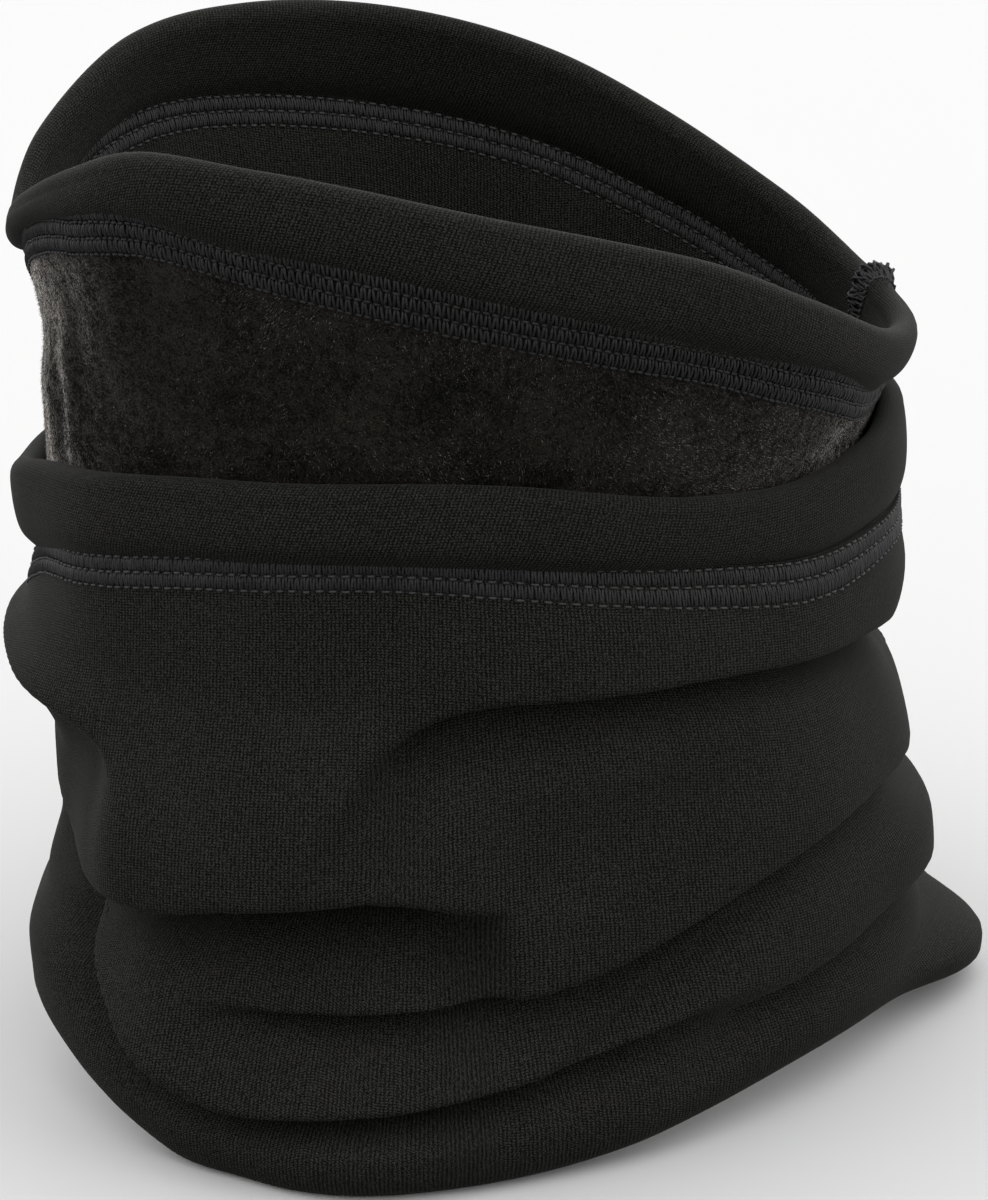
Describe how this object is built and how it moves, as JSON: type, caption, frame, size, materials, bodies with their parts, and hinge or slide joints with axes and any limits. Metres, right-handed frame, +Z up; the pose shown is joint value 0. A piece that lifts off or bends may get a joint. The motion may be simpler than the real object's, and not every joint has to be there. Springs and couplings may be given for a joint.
{
  "type": "neck gaiter",
  "caption": "Fleece-lined winter neck gaiter, a knit tube folded in half so its taller inner leaf shows the fleece, with doubled cuffs sewn on by flat seams.",
  "frame": {"origin": "on the plane that the gaiter stands on, under the middle of its outline", "axes": "+Z up along the neck, -Y to the wearer's front, +X to the wearer's left"},
  "size_m": [0.1532, 0.1874, 0.187],
  "materials": {
    "jersey_knit": "smooth matte jersey with fine upright wales",
    "fleece_pile": "soft brushed pile, warm charcoal",
    "needle_thread": "twisted polyester thread",
    "cover_thread": "bulked polyester thread",
    "looper_thread": "bulked polyester thread"
  },
  "bodies": {
    "root": {"back_seam_cover_thread": "cover_thread", "back_seam_looper_thread": "looper_thread", "back_seam_needle_thread_left": "needle_thread", "back_seam_needle_thread_right": "needle_thread", "body_fleece_back": "fleece_pile", "body_knit_face": "jersey_knit", "inner_cuff_closing_thread": "looper_thread", "inner_cuff_fleece": "fleece_pile", "inner_cuff_knit": "jersey_knit", "inner_seam_cover_thread": "cover_thread", "inner_seam_looper_thread": "looper_thread", "inner_seam_needle_thread_lower": "needle_thread", "inner_seam_needle_thread_middle": "needle_thread", "inner_seam_needle_thread_upper": "needle_thread", "outer_cuff_closing_thread": "looper_thread", "outer_cuff_fleece": "fleece_pile", "outer_cuff_knit": "jersey_knit", "outer_seam_cover_thread": "cover_thread", "outer_seam_looper_thread": "looper_thread", "outer_seam_needle_thread_lower": "needle_thread", "outer_seam_needle_thread_middle": "needle_thread", "outer_seam_needle_thread_upper": "needle_thread"}
  },
  "joints": []
}
